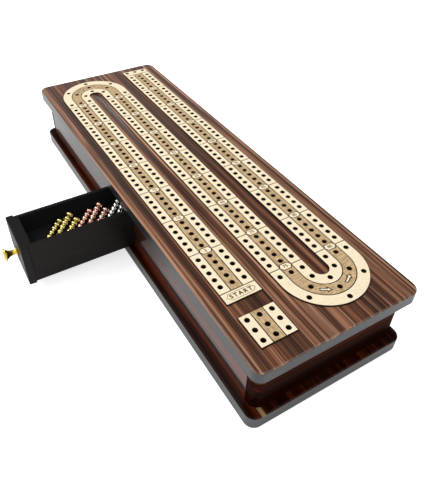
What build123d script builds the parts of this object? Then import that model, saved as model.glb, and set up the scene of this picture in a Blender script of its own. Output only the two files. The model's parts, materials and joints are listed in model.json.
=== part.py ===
from build123d import *
from math import asin, cos, degrees, pi, radians, sin, sqrt
import os

# A cribbage board on a flat wooden box.  A drawer with nine metal pegs slides out of the left side.
# Millimetres.  X runs across the box, Y along it, Z up.  The origin is the middle of the underside.
# The drawer stands open and leaves towards -X.

# ---- sizes of the box ----
box_length = 368.0           # base and deck, along Y
box_width = 120.0            # base and deck, along X
plate_corner_radius = 7.0
edge_ease = 0.8              # chamfer round the base and the deck
base_thickness = 11.0
deck_thickness = 10.0
body_height = 35.5           # walls between base and deck
wall_thickness = 9.0
ledge_side = 5.0             # base and deck stand out past the long walls
ledge_end = 5.5              # and past the short ones
body_corner_radius = 6.0
guide_thickness = 6.0        # partitions beside the drawer

# ---- sizes of the drawer ----
drawer_out = 77.2            # how far the drawer is pulled out
drawer_box_width = 36.6
drawer_side_clearance = 0.4  # each side, to the partitions
drawer_lift = 0.3            # drawer box above the base
drawer_wall = 2.2
drawer_rear_clearance = 5.2  # behind the closed drawer
front_thickness = 5.4
front_lap = 1.3              # front covers the bay's edges by this
front_gap_low = 0.5
front_gap_high = 1.0
front_gap_wall = 0.2         # closed front to the wall
inner_front_thickness = 2.5
tray_depth = 16.0            # rim to the tray's floor
panel_thickness = 3.0        # tray's bottom panel
lining_thickness = 0.5
lining_below_rim = 0.5
cleat_width = 3.0
cleat_height = 4.0

# ---- sizes of the knob and its screw ----
knob_height = 17.5           # above the base's top face
knob_length = 9.9
knob_base_radius = 3.5
knob_base_thickness = 1.0
knob_neck_radius = 2.0
knob_rim_radius = 5.3
knob_rim_thickness = 0.7
knob_dome = 0.8
knob_face_radius = 3.0       # flat middle of the dome
flare_start = 2.6            # neck's straight stretch ends here, from the front's face
knob_flare_steps = 4
knob_sides = 16              # flat sides stand for a round knob
screw_sides = 12             # and for its screw and the screw's hole
screw_radius = 1.2
screw_thread_depth = 4.0     # screw's length inside the knob
screw_head_radius = 2.6
screw_head_thickness = 1.4
screw_hole_clearance = 0.3

# ---- sizes of the pegs ----
peg_length = 30.0
peg_rings = 5
peg_ring_pitch = 4.0
peg_head_radius = 2.9        # widest ring, at the head
peg_last_ring_radius = 1.8
peg_shank_radius = 1.25
peg_sides = 8                # flat sides stand for round rings
peg_rest_gap = 0.15          # pegs above the tray's lining
peg_wall_gap = 0.3           # tips beside the near lining
peg_head_gap = 1.5           # heads from the far lining
peg_turn = 45.0              # degrees, pegs across the tray
peg_first_offset = 22.5      # first peg's line from the tray's far front corner, square to it
peg_group_gap = 5.1          # from the last peg of one metal to the first of the next
peg_rear_gap = 1.3           # last peg's head to the tray's back
peg_shares = (0.0, 0.505, 1.0)  # lines of one metal's pegs, as shares of their spread
peg_raised_tilt = 9.0        # degrees, middle peg of each metal lies over its neighbours

# ---- sizes of the track ----
inlay_depth = 6.0            # strips let into the deck
inlay_proud = 1.0            # strips above the deck
hole_diameter = 2.9
hole_depth = 6.0
hole_pitch = 6.5             # along the track
track_near_margin = 55.47    # deck's near end to the line before the first holes
track_far_margin = 10.35     # finish plate to the deck's far end
lane_pitch = 8.6             # across the track
centre_strip_width = 8.6
outer_strip_width = 8.2
track_side_margin = 11.5     # deck's long edges to the outer legs
turn_first_gap = 5.8         # a turn's first hole from its line
near_turn_run = 11.57        # straight stretch of the near turn
far_turn_run = 13.8          # and of the far turn
turn_sides = 24              # flat runs stand for each half circle
turn_hole_angles = (19.0, 32.0, 36.0)  # side holes of the inner, middle and outer lane
start_plate_length = 8.4
finish_plate_length = 8.9
finish_hole_gap = 5.7        # finish holes from their line
parking_gap = 10.57          # between start plate and parking block
parking_length = 23.4
parking_pitch = 7.75
groups_on_leg = (7, 7, 8)
rows_in_group = 5

# ---- places that follow from the sizes ----
deck_bottom = base_thickness + body_height
deck_top = deck_bottom + deck_thickness
inlay_bottom = deck_top - inlay_depth
inlay_top = deck_top + inlay_proud
wall_outer_x = box_width / 2 - ledge_side
wall_inner_x = wall_outer_x - wall_thickness
wall_outer_y = box_length / 2 - ledge_end
wall_inner_y = wall_outer_y - wall_thickness
bay_half = drawer_box_width / 2 + drawer_side_clearance

front_back_x = -wall_outer_x - front_gap_wall - drawer_out
front_face_x = front_back_x - front_thickness
inner_front_x = front_back_x + inner_front_thickness
drawer_rear_x = wall_inner_x - drawer_rear_clearance - drawer_out
drawer_back_x = drawer_rear_x - drawer_wall
drawer_half = drawer_box_width / 2
tray_half = drawer_half - drawer_wall
drawer_bottom_z = base_thickness + drawer_lift
rim_z = deck_bottom - front_gap_high
tray_floor_z = rim_z - tray_depth
panel_top_z = tray_floor_z - lining_thickness
panel_bottom_z = panel_top_z - panel_thickness
lined_half = tray_half - lining_thickness
tray_rear_x = drawer_back_x - lining_thickness
knob_z = base_thickness + knob_height

track_half = centre_strip_width / 2 + outer_strip_width
leg_spacing = box_width / 2 - track_side_margin - track_half
leg_x = [-leg_spacing, 0.0, leg_spacing]
finish_end_y = box_length / 2 - track_far_margin
finish_line_y = finish_end_y - finish_plate_length
near_line_y = track_near_margin - box_length / 2
group_pitch = (finish_line_y - near_line_y) / groups_on_leg[2]
group_gap = group_pitch - hole_pitch * (rows_in_group - 1)
first_row_y = near_line_y + group_gap / 2
far_line_y = near_line_y + group_pitch * groups_on_leg[0]
start_end_y = near_line_y - start_plate_length
parking_far_y = start_end_y - parking_gap
parking_near_y = parking_far_y - parking_length

# One lane is (name, distance of its holes from the leg's middle, distances of its two edges).
LANES = [
    ("left", -lane_pitch, -track_half, -centre_strip_width / 2),
    ("centre", 0.0, -centre_strip_width / 2, centre_strip_width / 2),
    ("right", lane_pitch, centre_strip_width / 2, track_half),
]
METALS = ("gold", "copper", "silver")


def block(x_low, x_high, y_low, y_high, z_low, z_high):
    """A board between two corners."""
    middle = Pos((x_low + x_high) / 2, (y_low + y_high) / 2, (z_low + z_high) / 2)
    return middle * Box(x_high - x_low, y_high - y_low, z_high - z_low)


def plate(z_low, thickness):
    """A rounded plate with eased edges, as the base and the deck are."""
    outline = RectangleRounded(box_width, box_length, plate_corner_radius)
    board = extrude(Pos(0, 0, z_low) * outline, thickness)
    rims = board.faces().sort_by(Axis.Z)[0].edges() + board.faces().sort_by(Axis.Z)[-1].edges()
    return chamfer(rims, edge_ease)


# ---- track ----
def leg_ends(leg):
    """Y of the two lines that close one leg of the track."""
    return near_line_y, finish_line_y if leg == 2 else far_line_y


def leg_hole_rows(leg):
    """Y of each row of holes on one leg."""
    return [
        first_row_y + group * group_pitch + row * hole_pitch
        for group in range(groups_on_leg[leg])
        for row in range(rows_in_group)
    ]


def turn_place(end):
    """A turn's middle, its line and its direction along Y."""
    if end == "near":
        return leg_spacing / 2, near_line_y, near_line_y - near_turn_run, -1
    return -leg_spacing / 2, far_line_y, far_line_y + far_turn_run, 1


def half_circle(x, y, radius, way):
    """Corners of half a circle, from its -x end to its +x end."""
    angles = [pi * step / turn_sides for step in range(turn_sides + 1)]
    return [(x - radius * cos(angle), y + way * radius * sin(angle)) for angle in angles]


def turn_outline(end, inner_radius, outer_radius):
    """The outline of one strip that runs round a turn."""
    x, line_y, middle_y, way = turn_place(end)
    corners = [(x - outer_radius, line_y)]
    corners += half_circle(x, middle_y, outer_radius, way)
    corners += [(x + outer_radius, line_y), (x + inner_radius, line_y)]
    corners += reversed(half_circle(x, middle_y, inner_radius, way))
    corners += [(x - inner_radius, line_y)]
    return make_face(Polyline(*corners, close=True))


def turn_holes(end, lane):
    """Five holes round a turn: one on each straight stretch, one each side and one at the top."""
    x, line_y, middle_y, way = turn_place(end)
    radius = leg_spacing / 2 + (lane - 1) * lane_pitch
    side = radians(turn_hole_angles[lane])
    first_y = line_y + way * turn_first_gap
    side_y = middle_y + way * radius * sin(side)
    return [
        (x - radius, first_y),
        (x - radius * cos(side), side_y),
        (x, middle_y + way * radius),
        (x + radius * cos(side), side_y),
        (x + radius, first_y),
    ]


def rectangle(x_low, x_high, y_low, y_high):
    return Pos((x_low + x_high) / 2, (y_low + y_high) / 2) * Rectangle(x_high - x_low, y_high - y_low)


def inlay(outline, holes=()):
    """A strip of wood let into the deck, with its peg holes, which are six-sided to keep it light."""
    strip = extrude(Pos(0, 0, inlay_bottom) * outline, inlay_depth + inlay_proud)
    drills = [drill(place, RegularPolygon(hole_diameter / 2, 6)) for place in holes]
    return strip - drills if drills else strip


def drill(place, hole_shape):
    x, y = place
    return extrude(Pos(x, y, inlay_top - hole_depth) * hole_shape, hole_depth)


def leg_strip(leg, lane):
    name, hole_x, low, high = LANES[lane]
    y_low, y_high = leg_ends(leg)
    outline = rectangle(leg_x[leg] + low, leg_x[leg] + high, y_low, y_high)
    holes = [(leg_x[leg] + hole_x, y) for y in leg_hole_rows(leg)]
    return inlay(outline, holes)


def turn_strip(end, lane):
    """Lane 0 is the inner one, next to the island."""
    low, high = LANES[lane][2:]
    outline = turn_outline(end, leg_spacing / 2 + low, leg_spacing / 2 + high)
    return inlay(outline, turn_holes(end, lane))


def start_plate():
    outline = rectangle(leg_x[0] - track_half, leg_x[0] + track_half, start_end_y, near_line_y)
    return inlay(outline)


def finish_holes():
    return [(leg_x[2] + lane[1], finish_line_y + finish_hole_gap) for lane in LANES]


def finish_plate():
    """The last three holes.  The middle one is round, as every peg hole is on the real board."""
    outline = rectangle(leg_x[2] - track_half, leg_x[2] + track_half, finish_line_y, finish_end_y)
    left, middle, right = finish_holes()
    return inlay(outline, [left, right]) - drill(middle, Circle(hole_diameter / 2))


def parking_strip(lane):
    name, hole_x, low, high = LANES[lane]
    outline = rectangle(leg_x[0] + low, leg_x[0] + high, parking_near_y, parking_far_y)
    middle_y = (parking_near_y + parking_far_y) / 2
    holes = [(leg_x[0] + hole_x, middle_y + step * parking_pitch) for step in (-1, 0, 1)]
    return inlay(outline, holes)


# ---- box ----
def base_plate():
    return plate(0, base_thickness)


def top_plate():
    """The deck, with the track's channel routed into it."""
    channel = rectangle(leg_x[0] - track_half, leg_x[0] + track_half, start_end_y, far_line_y)
    channel += rectangle(leg_x[1] - track_half, leg_x[1] + track_half, near_line_y, far_line_y)
    channel += rectangle(leg_x[2] - track_half, leg_x[2] + track_half, near_line_y, finish_end_y)
    for end in ("near", "far"):
        channel += turn_outline(end, leg_spacing / 2 - track_half, leg_spacing / 2 + track_half)
    channel += rectangle(leg_x[0] - track_half, leg_x[0] + track_half, parking_near_y, parking_far_y)
    return plate(deck_bottom, deck_thickness) - extrude(Pos(0, 0, inlay_bottom) * channel, inlay_depth)


def end_wall(way):
    """A short wall, the full width of the body, with rounded outer corners.  way is -1 near, 1 far."""
    outline = RectangleRounded(2 * wall_outer_x, 2 * wall_outer_y, body_corner_radius)
    outline &= rectangle(-wall_outer_x, wall_outer_x, *sorted((way * wall_inner_y, way * wall_outer_y)))
    return extrude(Pos(0, 0, base_thickness) * outline, body_height)


def side_wall_right():
    return block(wall_inner_x, wall_outer_x, -wall_inner_y, wall_inner_y, base_thickness, deck_bottom)


def side_wall_left(way):
    """One of the two wall pieces beside the drawer's bay."""
    y_low, y_high = sorted((way * bay_half, way * wall_inner_y))
    return block(-wall_outer_x, -wall_inner_x, y_low, y_high, base_thickness, deck_bottom)


def drawer_guide(way):
    """A partition from wall to wall that the drawer runs along."""
    y_low, y_high = sorted((way * bay_half, way * (bay_half + guide_thickness)))
    return block(-wall_inner_x, wall_inner_x, y_low, y_high, base_thickness, deck_bottom)


# ---- drawer ----
def drawer_front_plate():
    """The front, proud of the bay on both sides, with the knob screw's hole."""
    half = bay_half + front_lap
    z_low = base_thickness + front_gap_low
    board = block(front_face_x, front_back_x, -half, half, z_low, rim_z)
    board = chamfer(board.faces().sort_by(Axis.X)[0].edges(), edge_ease / 2)
    return board - screw_hole()


def rod(radius, z_low, z_high):
    """A flat-sided rod along the knob's axis, for the screw and its holes."""
    return flat_sided([(radius, z_low), (radius, z_high)], screw_sides)


def screw_hole():
    reach = front_thickness + inner_front_thickness
    return on_knob_axis(rod(screw_radius + screw_hole_clearance, -reach, 0))


def drawer_inner_front():
    """A thin board behind the front, with a counterbore inside for the screw's head."""
    board = block(front_back_x, inner_front_x, -tray_half, tray_half, drawer_bottom_z, rim_z)
    return board - screw_hole() - screw_head()


def drawer_side(way):
    y_low, y_high = sorted((way * tray_half, way * drawer_half))
    return block(front_back_x, drawer_rear_x, y_low, y_high, drawer_bottom_z, rim_z)


def drawer_back():
    return block(drawer_back_x, drawer_rear_x, -tray_half, tray_half, drawer_bottom_z, rim_z)


def drawer_bottom():
    return block(inner_front_x, drawer_back_x, -tray_half, tray_half, panel_bottom_z, panel_top_z)


def drawer_cleats():
    """Two strips under the bottom panel, one along each side."""
    z_low = panel_bottom_z - cleat_height
    near = block(inner_front_x, drawer_back_x, -tray_half, -tray_half + cleat_width, z_low, panel_bottom_z)
    far = block(inner_front_x, drawer_back_x, tray_half - cleat_width, tray_half, z_low, panel_bottom_z)
    return Compound(children=[near, far])


def drawer_lining():
    """Black cloth on the tray's floor and inner walls."""
    top = rim_z - lining_below_rim
    outer = block(inner_front_x, drawer_back_x, -tray_half, tray_half, panel_top_z, top)
    x_low = inner_front_x + lining_thickness
    x_high = drawer_back_x - lining_thickness
    return outer - block(x_low, x_high, -lined_half, lined_half, tray_floor_z, top)


def flat_sided(profile, sides):
    """A turned shape with flat sides, from (radius, height) pairs, with a flat face at each end."""
    rings = [
        [Vector(radius, 0, height).rotate(Axis.Z, 360 * side / sides) for side in range(sides)]
        for radius, height in profile
    ]
    faces = [Face(Wire.make_polygon(rings[0])), Face(Wire.make_polygon(rings[-1]))]
    for low, high in zip(rings, rings[1:]):
        for side in range(sides):
            corners = [low[side - 1], low[side], high[side], high[side - 1]]
            faces.append(Face(Wire.make_polygon(corners)))
    return Solid(Shell(faces))


def on_knob_axis(piece):
    """Lays a turned piece along the knob's axis: its z = 0 on the front's face, +z away from the box."""
    return Pos(front_face_x, 0, knob_z) * Rot(0, -90, 0) * piece


def drawer_knob():
    """A base collar, a straight neck, a trumpet flare, a rim and a low dome, bored for the screw."""
    rim_end = knob_length - knob_dome
    rim_start = rim_end - knob_rim_thickness
    profile = [(knob_base_radius, 0), (knob_base_radius, knob_base_thickness)]
    profile.append((knob_neck_radius, knob_base_thickness))
    for step in range(knob_flare_steps + 1):
        angle = radians(90 * step / knob_flare_steps)
        radius = knob_rim_radius - (knob_rim_radius - knob_neck_radius) * cos(angle)
        profile.append((radius, flare_start + (rim_start - flare_start) * sin(angle)))
    profile.append((knob_rim_radius, rim_end))
    profile.append((knob_face_radius, knob_length))
    return on_knob_axis(flat_sided(profile, knob_sides) - rod(screw_radius, 0, screw_thread_depth))


def screw_head():
    """The flat head, flush with the inner front's back."""
    z_low = -(front_thickness + inner_front_thickness)
    return on_knob_axis(rod(screw_head_radius, z_low, z_low + screw_head_thickness))


def knob_screw():
    z_low = screw_head_thickness - front_thickness - inner_front_thickness
    return screw_head() + on_knob_axis(rod(screw_radius, z_low, screw_thread_depth))


# ---- pegs ----
def peg():
    """One peg along Z, its tip at the origin: a shank, then rings that widen towards the head."""
    rings_start = peg_length - peg_rings * peg_ring_pitch
    profile = [(peg_shank_radius, 0)]
    for ring in range(peg_rings):
        widening = (peg_head_radius - peg_last_ring_radius) * ring / (peg_rings - 1)
        ring_start = rings_start + ring * peg_ring_pitch
        profile.append((peg_shank_radius, ring_start))
        profile.append((peg_last_ring_radius + widening, ring_start + peg_ring_pitch))
    return flat_sided(profile, peg_sides)


def peg_across(place):
    """Tilt of a peg in the tray, and y of its tip.  The middle peg of each metal is raised."""
    tilt = asin((peg_head_radius - peg_shank_radius) / peg_length)
    if place == 1:
        tilt = radians(peg_raised_tilt)
    if place == 2:
        return tilt, peg_wall_gap + peg_shank_radius - lined_half
    along_y = cos(tilt) * sin(radians(peg_turn))
    head_y = lined_half - peg_head_gap - peg_head_radius * sqrt(1 - along_y ** 2)
    return tilt, head_y - peg_length * along_y


def peg_line(x, y):
    """How far a peg's line is from the tray's far front corner, square to it, if it runs through (x, y)."""
    turn = radians(peg_turn)
    return (x - inner_front_x) * sin(turn) + (lined_half - y) * cos(turn)


def last_peg_line(place):
    """The last line for a peg whose head still clears the tray's back."""
    tilt, tip_y = peg_across(place)
    along_x = cos(tilt) * cos(radians(peg_turn))
    head_x = tray_rear_x - peg_rear_gap - peg_head_radius * sqrt(1 - along_x ** 2)
    return peg_line(head_x, tip_y + peg_length * cos(tilt) * sin(radians(peg_turn)))


def peg_spread():
    """From the first to the last peg of one metal, square to them, so that three metals fill the tray."""
    steps = len(METALS) - 1
    taken = peg_first_offset + steps * peg_group_gap
    return min((last_peg_line(place) - taken) / (steps + share) for place, share in enumerate(peg_shares))


def lying_peg(group, place):
    """A peg in the tray.  group counts metals from the front, place counts pegs of one metal."""
    turn = radians(peg_turn)
    tilt, tip_y = peg_across(place)
    tip_z = tray_floor_z + peg_rest_gap + peg_shank_radius / cos(tilt)
    line = peg_first_offset + group * (peg_spread() + peg_group_gap) + peg_shares[place] * peg_spread()
    tip_x = inner_front_x + (line + (tip_y - lined_half) * cos(turn)) / sin(turn)
    return Pos(tip_x, tip_y, tip_z) * Rot(0, 0, peg_turn) * Rot(0, 90 - degrees(tilt), 0) * peg()


def parts():
    """Every node of the object, by name."""
    nodes = {
        "base_plate": base_plate(),
        "top_plate": top_plate(),
        "end_wall_near": end_wall(-1),
        "end_wall_far": end_wall(1),
        "side_wall_right": side_wall_right(),
        "side_wall_left_near": side_wall_left(-1),
        "side_wall_left_far": side_wall_left(1),
        "drawer_guide_near": drawer_guide(-1),
        "drawer_guide_far": drawer_guide(1),
        "start_plate": start_plate(),
        "finish_plate": finish_plate(),
        "drawer_front_plate": drawer_front_plate(),
        "drawer_inner_front": drawer_inner_front(),
        "drawer_side_near": drawer_side(-1),
        "drawer_side_far": drawer_side(1),
        "drawer_back": drawer_back(),
        "drawer_bottom": drawer_bottom(),
        "drawer_cleats": drawer_cleats(),
        "drawer_lining": drawer_lining(),
        "drawer_knob": drawer_knob(),
        "knob_screw": knob_screw(),
    }
    for lane, (name, *_) in enumerate(LANES):
        nodes[f"parking_strip_{name}"] = parking_strip(lane)
        for leg in range(len(leg_x)):
            nodes[f"leg_{leg + 1}_strip_{name}"] = leg_strip(leg, lane)
    for end in ("near", "far"):
        for lane, name in enumerate(("inner", "middle", "outer")):
            nodes[f"{end}_turn_strip_{name}"] = turn_strip(end, lane)
    for group, metal in enumerate(METALS):
        for place in range(len(peg_shares)):
            nodes[f"peg_{metal}_{place + 1}"] = lying_peg(group, place)
    return nodes


os.makedirs("parts", exist_ok=True)
for node, solid in parts().items():
    solid.label = node
    export_step(solid, f"parts/{node}.step")
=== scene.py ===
import json
from math import asin, atan2, cos, pi, radians, sin

import bmesh
import bpy
from mathutils import Euler, Matrix, Vector
from mathutils.geometry import tessellate_polygon

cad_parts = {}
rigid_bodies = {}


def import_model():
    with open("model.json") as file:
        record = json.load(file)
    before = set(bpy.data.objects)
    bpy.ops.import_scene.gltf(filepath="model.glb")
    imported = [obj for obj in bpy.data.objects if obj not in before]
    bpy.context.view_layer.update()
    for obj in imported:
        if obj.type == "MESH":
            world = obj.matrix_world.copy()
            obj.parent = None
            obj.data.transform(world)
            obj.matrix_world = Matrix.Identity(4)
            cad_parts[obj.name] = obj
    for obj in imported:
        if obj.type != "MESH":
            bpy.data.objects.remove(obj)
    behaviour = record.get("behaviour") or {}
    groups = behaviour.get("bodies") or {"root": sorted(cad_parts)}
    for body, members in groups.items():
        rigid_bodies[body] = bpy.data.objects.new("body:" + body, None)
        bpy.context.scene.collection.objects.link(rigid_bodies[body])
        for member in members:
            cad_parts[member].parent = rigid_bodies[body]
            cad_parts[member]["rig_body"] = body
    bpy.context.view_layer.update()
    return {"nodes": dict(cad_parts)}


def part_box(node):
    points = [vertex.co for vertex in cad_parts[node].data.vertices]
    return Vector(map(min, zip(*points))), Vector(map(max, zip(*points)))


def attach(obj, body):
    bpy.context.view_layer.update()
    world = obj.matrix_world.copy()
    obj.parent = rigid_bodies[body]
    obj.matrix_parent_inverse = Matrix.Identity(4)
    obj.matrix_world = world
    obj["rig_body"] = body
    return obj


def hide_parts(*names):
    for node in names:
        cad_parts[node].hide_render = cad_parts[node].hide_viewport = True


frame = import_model()

bl_info = {
    "name": "Cribbage box",
    "version": (1, 0, 0),
    "blender": (4, 5, 0),
    "location": "3D View > Sidebar > Cribbage box",
    "description": "A cribbage board on a box, with a drawer of metal pegs",
    "category": "Object",
}

MM = 0.001
MIX_A, MIX_B, MIX_OUT = 6, 7, 2      # colour sockets of the Mix node
LANE_WOODS = {"left": "maple", "centre": "oak", "right": "maple"}
LAST_LEG_GROUPS = 8
LEG_NUMBERS = {1: (0, 5), 2: (75, -5), 3: (80, 5)}    # at a leg's near line, and per group
LAST_NUMBER = 120
TURN_HOLE_ANGLES = {"inner": 19.0, "middle": 32.0, "outer": 36.0}    # degrees, from a turn's ends
ARROW_ANGLES = (-30.0, 30.0)         # degrees, from the middle of a turn
LETTER_RELIEF = 0.02 * MM            # letters stand this far above the wood
METAL_SLOTS = {"gold": "brass", "copper": "copper", "silver": "nickel"}
KNOB_SIDES, PEG_SIDES = 64, 40
FINISHES = {}                        # every material, by the name that the pieces use

# Single streaks of the deck: place across the board and half width, in millimetres.
PALE_STREAKS = ((-56.5, 1.1), (-22, 0.8), (-13.5, 1.1), (0.5, 1.0), (6, 0.8), (26, 1.0),
                (34.5, 0.8), (50, 1.7), (57, 0.9))
DARK_STREAKS = ((-51, 1.4), (-18, 1.6), (17.5, 1.2), (39.5, 1.6), (44, 1.0), (55.3, 0.8))
GRAIN_DRIFT = 2.0                    # millimetres, how far the grain wanders sideways

# One flared ring of a peg: share of the ring's pitch, share of its flare.
RING_FLARE = ((0.0, 0.0), (0.26, 0.0), (0.34, 0.16), (0.42, 0.6), (0.5, 0.84), (0.6, 0.95),
              (0.72, 1.0), (0.88, 0.98))


def colour(code):
    """Linear colour of an sRGB hex value such as #6B4534."""
    parts = [int(code[place:place + 2], 16) / 255 for place in (1, 3, 5)]
    return tuple(part / 12.92 if part <= 0.04045 else ((part + 0.055) / 1.055) ** 2.4
                 for part in parts)


def scaled(shade, share):
    """A lighter or darker shade of a linear colour."""
    return tuple(part * share for part in shade)


def length(name, millimetres, description):
    return bpy.props.FloatProperty(
        name=name, description=description, default=millimetres * MM, unit="LENGTH", precision=5)


def count(name, number, description):
    return bpy.props.IntProperty(name=name, description=description, default=number)


def slope(name, degrees, description):
    return bpy.props.FloatProperty(
        name=name, description=description, default=radians(degrees), subtype="ANGLE")


def finish_colour(name, code, description):
    return bpy.props.FloatVectorProperty(
        name=name, description=description, default=colour(code), subtype="COLOR", min=0, max=1)


class TrackSizes(bpy.types.PropertyGroup):
    hole_diameter: length("Hole diameter", 2.9, "Peg holes of the track")
    hole_depth: length("Hole depth", 6.0, "Peg holes, from the top of the track")
    hole_pitch: length("Hole pitch", 6.5, "Between the holes of a group of five")
    lane_pitch: length("Lane pitch", 8.6, "Between the three lanes")
    parking_pitch: length("Parking pitch", 7.75, "Between the holes of the parking block")
    finish_gap: length("Finish gap", 5.7, "From the finish line to its holes")
    turn_gap: length("Turn gap", 5.8, "From a turn's line to its first hole")
    burn: length("Burnt edge", 0.32, "Scorched slope round each inlaid piece")
    plaque_flat: length("Plaque flat", 5.6, "Flat edges of a numbered plaque")
    plaque_height: length("Plaque height", 5.0, "Numbered plaque, along the track")
    inlay_thickness: length("Inlay thickness", 2.0, "Plaques and arrows")
    numeral_size: length("Numeral size", 3.5, "Numbers on the plaques")
    word_size: length("Word size", 4.1, "Letters on the start plate")
    hole_sides: count("Hole sides", 20, "Sides of each round hole")
    turn_sides: count("Turn sides", 72, "Sides of half a turn")


class PegSizes(bpy.types.PropertyGroup):
    peg_length: length("Peg length", 30.0, "From the tip to the head")
    rings: count("Rings", 5, "Rings on each peg")
    ring_pitch: length("Ring pitch", 4.0, "Between the rings")
    head_radius: length("Head radius", 2.9, "Widest ring")
    last_ring_radius: length("Last ring radius", 1.8, "Narrowest ring")
    shank_radius: length("Shank radius", 1.25, "The part that goes into a hole")
    raised_tilt: slope("Raised tilt", 9, "Slope of the middle peg of each metal")
    turn: slope("Turn", 45, "Direction of the pegs across the tray")


class BoxColours(bpy.types.PropertyGroup):
    rosewood_dark: finish_colour("Rosewood dark", "#41281A", "Dark bands of the deck")
    rosewood_mid: finish_colour("Rosewood", "#73462F", "Ground colour of the deck")
    rosewood_light: finish_colour("Rosewood light", "#9C745A", "Pale bands of the deck")
    # The core colour is the walls' red-brown wood, darkened as painted shade for the walls and the
    # base that stand under the deck's overhang.
    rosewood_core: finish_colour("Rosewood core", "#4C1D0B", "Ground of the walls and the base")
    # Painted light: these brown streaks lighten the end walls just under the deck.
    end_streak: finish_colour("End streak", "#5A2E16", "Brown streaks of the end walls")
    edge: finish_colour("Dyed edge", "#1A1D22", "Edges of the deck and the base")
    sapwood: finish_colour("Sapwood", "#A98A62", "Pale streak in the base")
    beech: finish_colour("Beech", "#B08D64", "Partitions beside the drawer")
    maple: finish_colour("Maple", "#F7E6C6", "Outer strips, plaques and plates")
    oak: finish_colour("Oak", "#DCBF94", "Middle strips")
    scorch: finish_colour("Scorch", "#1E1208", "Laser-cut edges and holes")
    engraving: finish_colour("Engraving", "#5E4A2C", "Letters and numbers")
    lacquer: finish_colour("Black lacquer", "#110D0B", "Drawer boards")
    cloth: finish_colour("Black cloth", "#060606", "Tray lining")
    brass: finish_colour("Brass", "#E8CA58", "Knob")
    gold: finish_colour("Gold", "#EEDC8E", "Gold pegs")
    copper: finish_colour("Copper", "#F0C4B2", "Copper pegs")
    nickel: finish_colour("Nickel", "#F6F5F2", "Silver pegs")
    zinc: finish_colour("Zinc", "#A8A8A6", "Knob's screw")


# ---- materials ----
def add(tree, kind, inputs=(), stops=(), **settings):
    """Adds one node.  inputs maps sockets to values or to the sockets that feed them."""
    node = tree.nodes.new(kind)
    for name, value in settings.items():
        setattr(node, name, value)
    for place, (position, shade) in enumerate(stops):
        ramp = node.color_ramp.elements
        element = ramp[place] if place < len(ramp) else ramp.new(position)
        element.position = position
        element.color = (*shade, 1)
    for name, value in dict(inputs).items():
        socket = node.inputs[name]
        if isinstance(value, bpy.types.NodeSocket):
            tree.links.new(value, socket)
        elif socket.type == "RGBA":
            socket.default_value = (*value[:3], 1)
        else:
            socket.default_value = value
    return node


def empty_tree(owner):
    """The node tree of a material or a world, with nothing in it."""
    owner.use_nodes = True
    owner.node_tree.nodes.clear()
    return owner.node_tree


def start_material(name):
    material = bpy.data.materials.new(name)
    return material, empty_tree(material)


def end_material(material, **shader):
    """Adds the shader.  Its sockets take the given values, or the sockets that feed them."""
    sockets = {key.replace("_", " "): value for key, value in shader.items()}
    surface = add(material.node_tree, "ShaderNodeBsdfPrincipled", sockets)
    add(material.node_tree, "ShaderNodeOutputMaterial", {"Surface": surface.outputs[0]})
    return material


def grain_space(tree, along, stretch, offset=(0, 0, 0)):
    """Object coordinates in millimetres, drawn out along the grain."""
    place = add(tree, "ShaderNodeTexCoord").outputs["Object"]
    scale = [1 / MM] * 3
    scale["XYZ".index(along)] /= stretch
    return add(tree, "ShaderNodeMapping", {
        "Vector": place, "Scale": scale, "Location": offset}).outputs[0]


def rosewood(name, along, bands, offset, gloss, accents=()):
    """Striped rosewood under sprayed gloss lacquer: a clear reflection over dark wood.

    Bands 2 to 8 mm wide run the length of the board, with streaks of 2 mm and of 0.6 mm in them.
    gloss is how strongly the lacquer reflects.
    accents are single streaks: axis across the grain, place and half width in mm, colour.
    """
    dark, mid, light = bands
    material, tree = start_material(name)
    space = grain_space(tree, along, 90, offset)
    drift = add(tree, "ShaderNodeTexNoise", {"Vector": space, "Scale": 0.35, "Detail": 1.0})
    bent = add(tree, "ShaderNodeVectorMath", {
        0: drift.outputs["Color"], 1: (GRAIN_DRIFT,) * 3}, operation="MULTIPLY")
    place = add(tree, "ShaderNodeVectorMath", {
        0: space, 1: bent.outputs[0]}, operation="ADD").outputs[0]
    broad = add(tree, "ShaderNodeTexNoise", {
        "Vector": place, "Scale": 0.115, "Detail": 2.5, "Roughness": 0.55})
    ground = add(tree, "ShaderNodeValToRGB", {0: broad.outputs[0]}, stops=[
        (0.34, dark), (0.41, mid), (0.47, dark), (0.54, mid), (0.63, light), (0.70, mid)])
    shade = ground.outputs[0]
    spot = add(tree, "ShaderNodeSeparateXYZ", {0: place})
    for axis, middle, half, tint in accents:
        moved = middle + offset["XYZ".index(axis)] + GRAIN_DRIFT / 2
        away = add(tree, "ShaderNodeMath", {0: spot.outputs[axis], 1: moved}, operation="SUBTRACT")
        near = add(tree, "ShaderNodeMath", {0: away.outputs[0]}, operation="ABSOLUTE")
        share = add(tree, "ShaderNodeMapRange", {
            "Value": near.outputs[0], "From Min": half * 0.5, "From Max": half * 1.3,
            "To Min": 0.85, "To Max": 0.0})
        shade = add(tree, "ShaderNodeMix", {0: share.outputs[0], MIX_A: shade, MIX_B: tint},
                    data_type="RGBA").outputs[MIX_OUT]
    for scale, low, high in ((0.42, 0.56, 1.2), (1.5, 0.46, 1.36)):
        streaks = add(tree, "ShaderNodeTexNoise", {
            "Vector": place, "Scale": scale, "Detail": 2.0, "Roughness": 0.6})
        streak = add(tree, "ShaderNodeMapRange", {
            "Value": streaks.outputs[0], "From Min": 0.38, "From Max": 0.6,
            "To Min": low, "To Max": high})
        shade = add(tree, "ShaderNodeMix", {0: 1.0, MIX_A: shade, MIX_B: streak.outputs[0]},
                    data_type="RGBA", blend_type="MULTIPLY").outputs[MIX_OUT]
    return end_material(material, Base_Color=shade, Roughness=0.4, Coat_Weight=gloss,
                        Coat_Roughness=0.06, Specular_IOR_Level=0.15 * gloss)


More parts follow.
